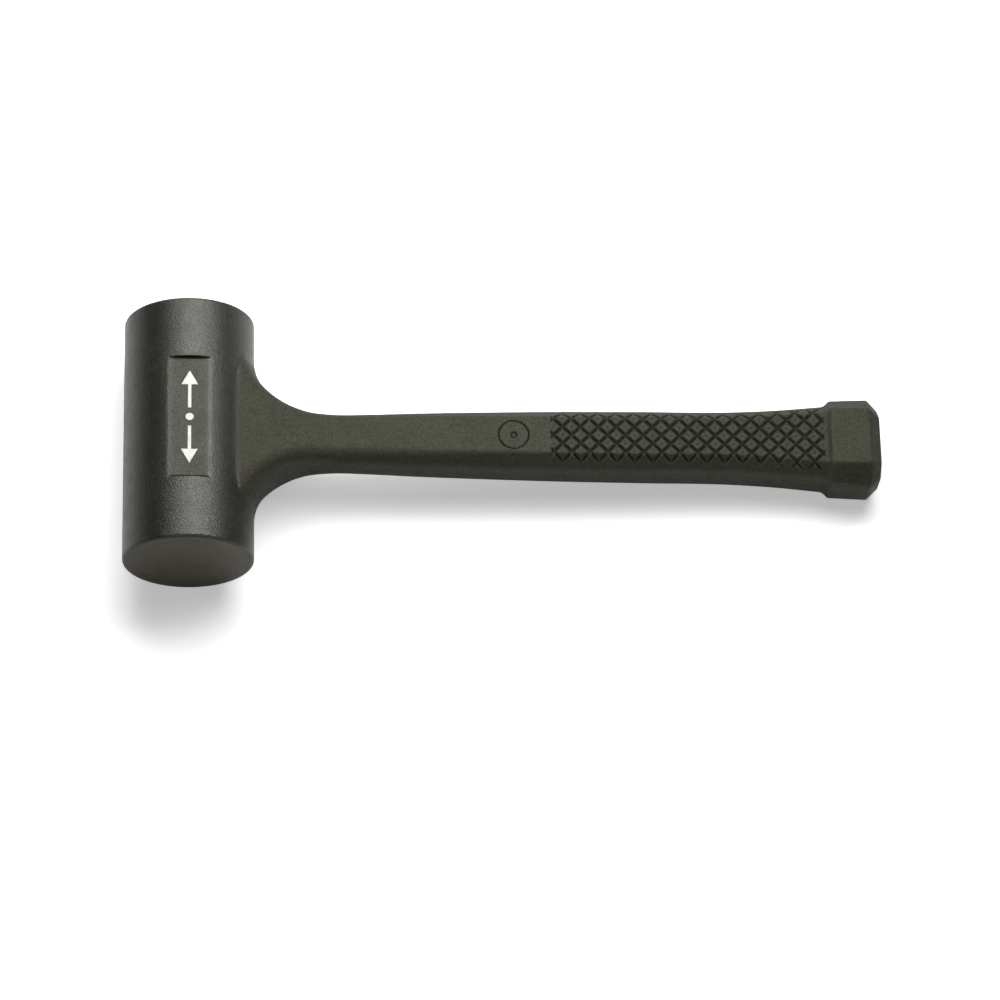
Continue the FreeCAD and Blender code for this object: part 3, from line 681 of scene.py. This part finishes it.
def urethane_roughness(n, textured, grain, scuff_patch, worn, dust_and_crease_shade):
    """Smoother on the barrel, rougher on the matt skin, on rubbed edges and in corners."""
    rough = n.sum(n.ramp(grain, 0.25, 0.75, 0.31, 0.43), n.ramp(scuff_patch, 0.4, 0.7, -0.02, 0.05))
    rough = n.sum(rough, n.sum(worn, 0.10, "MULTIPLY"))
    rough = n.sum(rough, n.sum(dust_and_crease_shade, 0.45, "MULTIPLY"))
    return n.sum(rough, n.sum(textured, 0.26, "MULTIPLY"))


def urethane_bump(n, textured, grain, pebble):
    """Slow ripples, the moulded grain and fine specks, and pebbles on the matt skin."""
    surface = n.bump(n.noise(5.0, detail=1.0), 0.06)
    surface = n.bump(grain, 0.20, surface)
    surface = n.bump(n.noise(0.5, detail=1.0), 0.06, surface)
    return n.bump(n.sum(pebble, textured, "MULTIPLY"), 0.20, surface)


def cast_polyurethane():
    """Satin charcoal urethane, warm and slightly olive, with a fine moulded grain and rubbed edges."""
    n = Nodes("cast_polyurethane")
    bend = n.add("ShaderNodeAttribute", attribute_name="bend").outputs["Fac"]
    textured = n.add("ShaderNodeAttribute", attribute_name="textured").outputs["Fac"]
    struck = n.add("ShaderNodeAttribute", attribute_name="struck").outputs["Fac"]
    grain = n.noise(0.62, detail=2.0, roughness=0.6)
    pebble = n.noise(1.1, detail=3.0, roughness=0.7)
    scuff_patch = n.noise(7.0, detail=5.0, roughness=0.65)
    worn = n.sum(n.ramp(bend, 0.25, 1.1), n.ramp(scuff_patch, 0.42, 0.66), "MULTIPLY")
    # painted shade in grooves and corners, taken from the skin's inward curvature; the same mask roughens
    # them there, standing for dust
    dust_and_crease_shade = n.ramp(bend, -0.15, -1.0, 0.0, 0.85)
    gloss = n.ramp(textured, 0, 1, 0.5, 0.29)
    pitted = n.sum(n.ramp(pebble, 0.34, 0.62, -0.07, 0.06), textured, "MULTIPLY")
    return n.finish(
        Base_Color=urethane_colour(n, textured, struck, pebble, worn, dust_and_crease_shade),
        Roughness=urethane_roughness(n, textured, grain, scuff_patch, worn, dust_and_crease_shade),
        Normal=urethane_bump(n, textured, grain, pebble),
        IOR=1.5,
        Specular_IOR_Level=n.sum(gloss, pitted),
        Specular_Tint=n.blend(textured, (0.97, 1.0, 0.92), (0.98, 1.0, 0.78)),
    )


def white_print():
    """Screen-printed white ink, thin enough for the grain under it to show, with small pinholes."""
    n = Nodes("white_print")
    wash = n.noise(3.0, detail=3.0)
    pinhole = n.noise(0.5, detail=2.0)
    colour = n.blend(n.ramp(wash, 0.3, 0.7), (0.50, 0.50, 0.47), (0.60, 0.60, 0.57))
    colour = n.blend(n.ramp(pinhole, 0.68, 0.76, 0.0, 0.6), colour, (0.10, 0.10, 0.09))
    rough = n.ramp(pinhole, 0.3, 0.7, 0.42, 0.6)
    return n.finish(Base_Color=colour, Roughness=rough, Normal=n.bump(pinhole, 0.03))


def drawn_steel(name, tint, grain_direction):
    """Bright mild steel with fine drawing or turning lines and a trace of oil stain."""
    n = Nodes(name)
    lines = n.noise(0.35, detail=3.0, stretch=grain_direction)
    stain = n.noise(9.0, detail=4.0, roughness=0.6)
    dark = tuple(0.55 * value for value in tint)
    colour = n.blend(n.ramp(stain, 0.35, 0.7), tint, dark)
    rough = n.sum(n.ramp(lines, 0.3, 0.7, 0.24, 0.42), n.ramp(stain, 0.4, 0.7, 0.0, 0.12))
    return n.finish(Base_Color=colour, Metallic=1.0, Roughness=rough, Normal=n.bump(lines, 0.02))


def weld_bead():
    """A steel weld bead: rippled, with blue and straw heat tints."""
    n = Nodes("weld_bead")
    ripple = n.noise(1.1, detail=2.0)
    heat = n.noise(6.0, detail=3.0)
    colour = n.blend(n.ramp(heat, 0.3, 0.7), (0.20, 0.19, 0.24), (0.36, 0.29, 0.20))
    rough = n.ramp(ripple, 0.3, 0.7, 0.35, 0.6)
    return n.finish(Base_Color=colour, Metallic=0.9, Roughness=rough, Normal=n.bump(ripple, 0.25))


def cast_shot():
    """Steel shot: dull grey balls, pitted and a little oxidised."""
    n = Nodes("cast_shot")
    pit = n.noise(0.8, detail=3.0)
    rust = n.noise(4.0, detail=4.0)
    colour = n.blend(n.ramp(rust, 0.45, 0.75), (0.34, 0.34, 0.35), (0.20, 0.13, 0.09))
    rough = n.ramp(pit, 0.3, 0.7, 0.35, 0.6)
    return n.finish(Base_Color=colour, Metallic=0.95, Roughness=rough, Normal=n.bump(pit, 0.06))


def zinc_plate():
    """Bright zinc plating with its faint spangle and a slight yellow passivation."""
    n = Nodes("zinc_plate")
    spangle = n.noise(2.2, detail=2.0)
    haze = n.noise(0.5, detail=2.0)
    colour = n.blend(n.ramp(spangle, 0.35, 0.65), (0.62, 0.62, 0.60), (0.70, 0.68, 0.58))
    rough = n.sum(n.ramp(spangle, 0.3, 0.7, 0.26, 0.38), n.ramp(haze, 0.3, 0.7, 0.0, 0.06))
    return n.finish(Base_Color=colour, Metallic=1.0, Roughness=rough, Normal=n.bump(haze, 0.01))


def dress(pieces):
    """Gives each piece the material of its slot."""
    materials = {
        "jacket_urethane": cast_polyurethane(),
        "print_white": white_print(),
        "steel": drawn_steel("mild_steel", (0.50, 0.50, 0.49), (1, 0.1, 1)),
        "weld": weld_bead(),
        "shot": cast_shot(),
        "spring_steel": drawn_steel("spring_steel", (0.30, 0.31, 0.34), (1, 1, 0.1)),
        "zinc_plate": zinc_plate(),
    }
    for piece, slot_name in pieces:
        piece.data.materials.clear()
        piece.data.materials.append(materials[slot_name])


# ---------------------------------------------------------------- studio

FLOOR_SIZE = 6.0
FLOOR_GLOW = 0.42  # lifts the floor to white in the picture
FLOOR_GLOW_ON_MALLET = 0.12  # the part of it that the mallet reflects
ROOM_GLOW = 0.78
ROOM_GLOW_ON_MALLET = 0.04
CAMERA_ELEVATION = math.radians(66.04)
CAMERA_DISTANCE = 1900.0
CAMERA_AIM = Vector((28.4, -25.0, 0))
CAMERA_PITCH = math.radians(1.45)  # how far the handle dips in the view
CAMERA_SWING = math.radians(2.868)  # how far the lens turns towards the butt
LENS_IN_FRAME_WIDTHS = 4.786
SENSOR_WIDTH = 36.0


def floor_tilt():
    """The tilt of a floor that touches both the round of the head and the butt's lower edge."""
    reach = BUTT_END - BUTT_END_BEVEL
    hypotenuse = math.hypot(reach, BUTT_HALF_HEIGHT)
    return math.asin(HEAD_RADIUS / hypotenuse) - math.atan2(BUTT_HALF_HEIGHT, reach)


def pale_floor():
    """A plain white sheet under the mallet as it lies, with a very faint tooth."""
    n = Nodes("pale_floor")
    tooth = n.noise(3.0, detail=2.0)
    colour = n.blend(n.ramp(tooth, 0.3, 0.7), (0.86, 0.86, 0.86), (0.88, 0.88, 0.88))
    seen_by_camera = n.add("ShaderNodeLightPath").outputs["Is Camera Ray"]
    glow = n.ramp(seen_by_camera, 0, 1, FLOOR_GLOW_ON_MALLET, FLOOR_GLOW)
    material = n.finish(
        Base_Color=colour,
        Roughness=0.9,
        Specular_IOR_Level=0.1,
        Emission_Color=(1, 1, 1),
        Emission_Strength=glow,
    )
    mesh = bpy.data.meshes.new("floor")
    half = FLOOR_SIZE / 2
    corners = [(-half, -half, 0), (half, -half, 0), (half, half, 0), (-half, half, 0)]
    mesh.from_pydata(corners, [], [(0, 1, 2, 3)])
    mesh.materials.append(material)
    floor = bpy.data.objects.new("floor", mesh)
    bpy.context.scene.collection.objects.link(floor)
    tilt = floor_tilt()
    touch = HEAD_PLACE + Vector((math.sin(tilt), 0, -math.cos(tilt))) * HEAD_RADIUS
    floor.matrix_world = Matrix.Translation(touch * MM) @ Matrix.Rotation(-tilt, 4, "Y")


def softbox(name, place, aim, size, brightness):
    """A plain white rectangular light that faces a point. Places are in metres from the centre of the head.

    brightness is how bright its face looks, on the scale where the lit floor is 1.
    """
    light = bpy.data.lights.new(name, "AREA")
    light.shape = "RECTANGLE"
    light.size, light.size_y = size
    light.energy = brightness * size[0] * size[1] * math.pi
    lamp = bpy.data.objects.new(name, light)
    bpy.context.scene.collection.objects.link(lamp)
    lamp.location = HEAD_PLACE * MM + Vector(place)
    lamp.rotation_euler = (Vector(place) - Vector(aim)).to_track_quat("Z", "Y").to_euler()


def room():
    """A dim room whose walls still look as pale as the floor in the picture."""
    world = bpy.data.worlds.new("room")
    world.use_nodes = True
    tree = world.node_tree
    background = tree.nodes["Background"]
    background.inputs["Color"].default_value = (1, 1, 1, 1)
    glow = tree.nodes.new("ShaderNodeMapRange")
    glow.inputs["To Min"].default_value = ROOM_GLOW_ON_MALLET
    glow.inputs["To Max"].default_value = ROOM_GLOW
    tree.links.new(tree.nodes.new("ShaderNodeLightPath").outputs["Is Camera Ray"], glow.inputs["Value"])
    tree.links.new(glow.outputs["Result"], background.inputs["Strength"])
    bpy.context.scene.world = world


def lights():
    """A broad overhead from behind, a small key over the head and a weak front fill."""
    softbox("overhead", (0.10, 1.05, 1.3), (0.10, 0.0, 0.0), (1.9, 1.5), 1.9)
    softbox("head_key", (0.11, 0.19, 0.42), (0.03, 0.0, 0.0), (0.58, 0.26), 7.0)
    softbox("front_fill", (0.05, -1.3, 0.6), (0.05, 0.0, 0.0), (1.6, 0.7), 0.45)


def camera():
    """The camera, at a long lens and well above the mallet, looking down its near side."""
    back = Vector((0, -math.cos(CAMERA_ELEVATION), math.sin(CAMERA_ELEVATION)))
    up = Vector((0, math.sin(CAMERA_ELEVATION), math.cos(CAMERA_ELEVATION)))
    right = Vector((1, 0, 0))
    turn = Matrix.Rotation(-CAMERA_PITCH, 3, "Y")
    place = HEAD_PLACE + turn @ (CAMERA_AIM + back * CAMERA_DISTANCE)
    axes = turn @ Matrix((right, up, back)).transposed() @ Matrix.Rotation(-CAMERA_SWING, 3, "Y")
    data = bpy.data.cameras.new("camera")
    data.sensor_width = SENSOR_WIDTH
    data.lens = SENSOR_WIDTH * LENS_IN_FRAME_WIDTHS
    data.clip_start = 0.05
    data.clip_end = 50
    eye = bpy.data.objects.new("camera", data)
    bpy.context.scene.collection.objects.link(eye)
    eye.matrix_world = Matrix.Translation(place * MM) @ axes.to_4x4()
    bpy.context.scene.camera = eye


# ---------------------------------------------------------------- the scene

slots = {part["node"]: part["material_slot"] for part in frame["record"]["subparts"]}
pieces = [(jacket_skin(), "jacket_urethane")]
pieces += [(nodes[name], slots[name]) for name in nodes if name != "outer_jacket"]
dress(pieces)
pale_floor()
room()
lights()
camera()
bpy.context.scene.view_settings.view_transform = "Standard"
